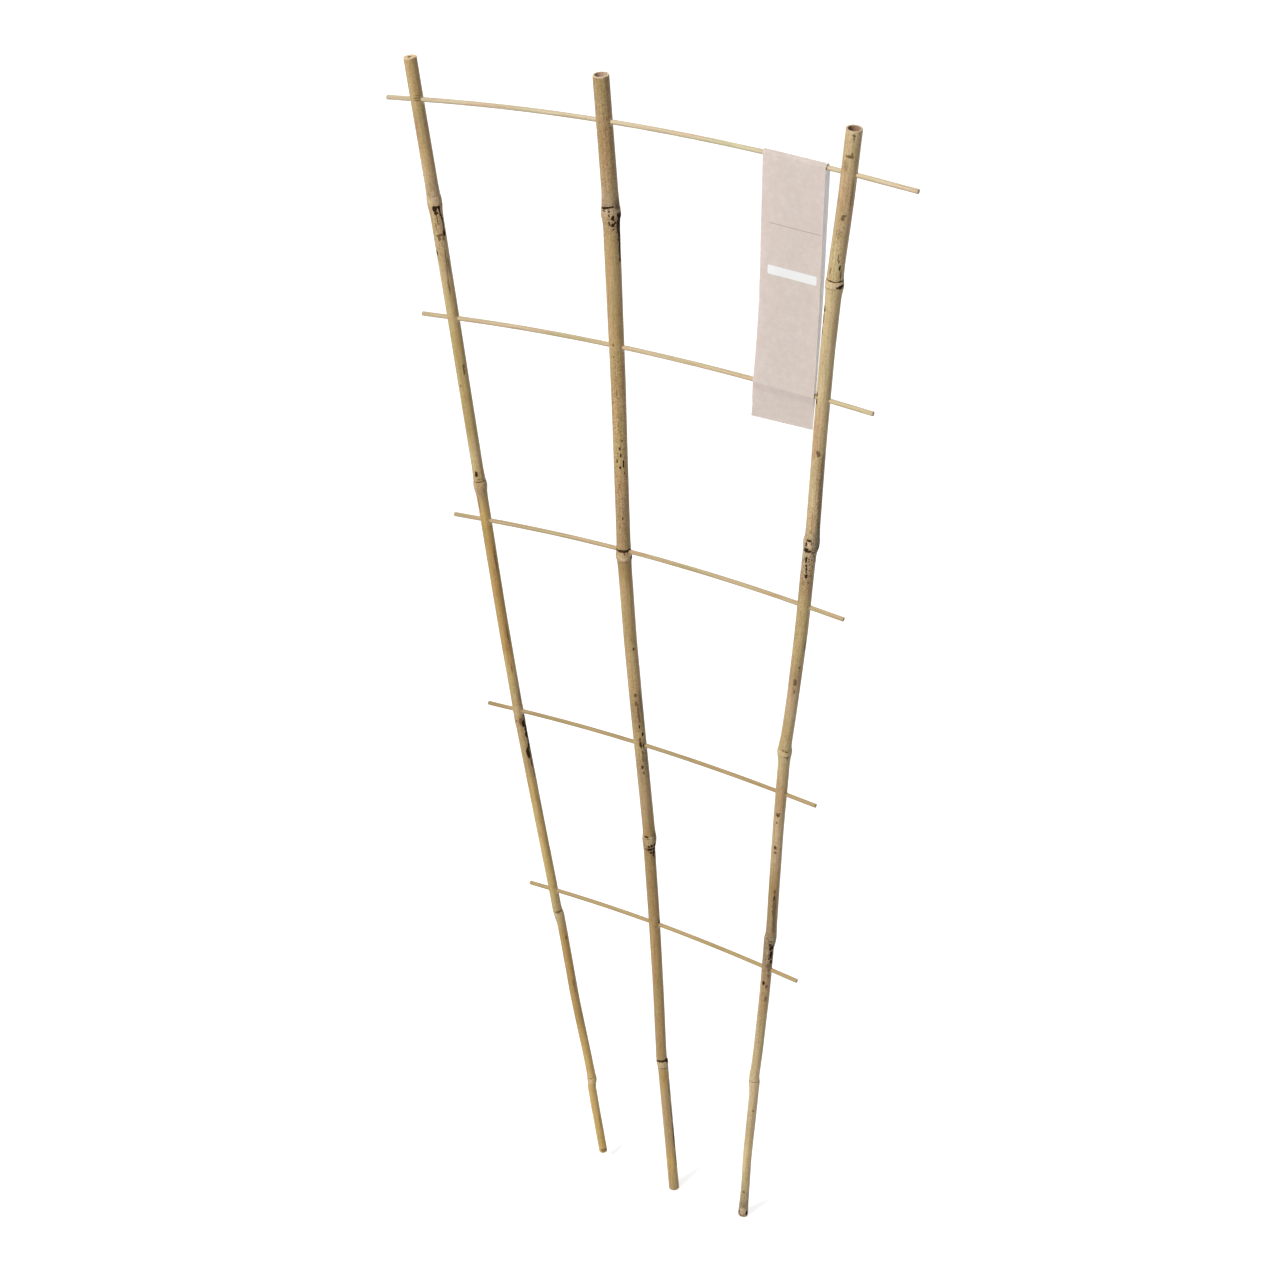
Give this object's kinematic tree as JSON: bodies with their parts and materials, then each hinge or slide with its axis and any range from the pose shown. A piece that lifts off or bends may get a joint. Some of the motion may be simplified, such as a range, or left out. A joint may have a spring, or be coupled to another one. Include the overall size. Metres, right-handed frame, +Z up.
{
  "type": "garden trellis",
  "caption": "Fan-shaped bamboo plant trellis: tapering canes spread upwards from a narrow foot, joined by thin arched crossbars through drilled holes, with a folded paper label near the top.",
  "frame": {"origin": "middle of the cut foot of the centre cane", "axes": "+Z up along the height of the trellis, +X along the crossbars to the right as seen from the front, -Y towards the front"},
  "size_m": [0.3504, 0.012, 0.9002],
  "materials": {
    "bamboo_left": "bare yellow-green bamboo skin, satin, with brown scars and grey-brown weathering on one side",
    "bamboo_centre": "bare straw-coloured bamboo skin, satin, with fibre streaks and dark branch scars at the nodes",
    "bamboo_right": "bare straw-coloured bamboo skin, satin, slightly pink between the nodes, with dark scars",
    "split_bamboo": "pale machined bamboo rod, matt, with fine lengthwise grain",
    "label_paper": "matt uncoated pinkish-beige paper with a faint mottle, white where bare"
  },
  "bodies": {
    "frame": {"left_cane": "bamboo_left", "centre_cane": "bamboo_centre", "right_cane": "bamboo_right", "crossbar_1": "split_bamboo", "crossbar_2": "split_bamboo", "crossbar_3": "split_bamboo", "crossbar_4": "split_bamboo", "crossbar_5": "split_bamboo"},
    "label": {"paper_label": "label_paper"}
  },
  "joints": [
    {"name": "label_slide", "type": "hinge", "parent": "frame", "child": "label", "pos_m": [0.01855, 0, -0.70441], "axis": [0, -1, 0], "range_deg": [0, 3.43]}
  ]
}
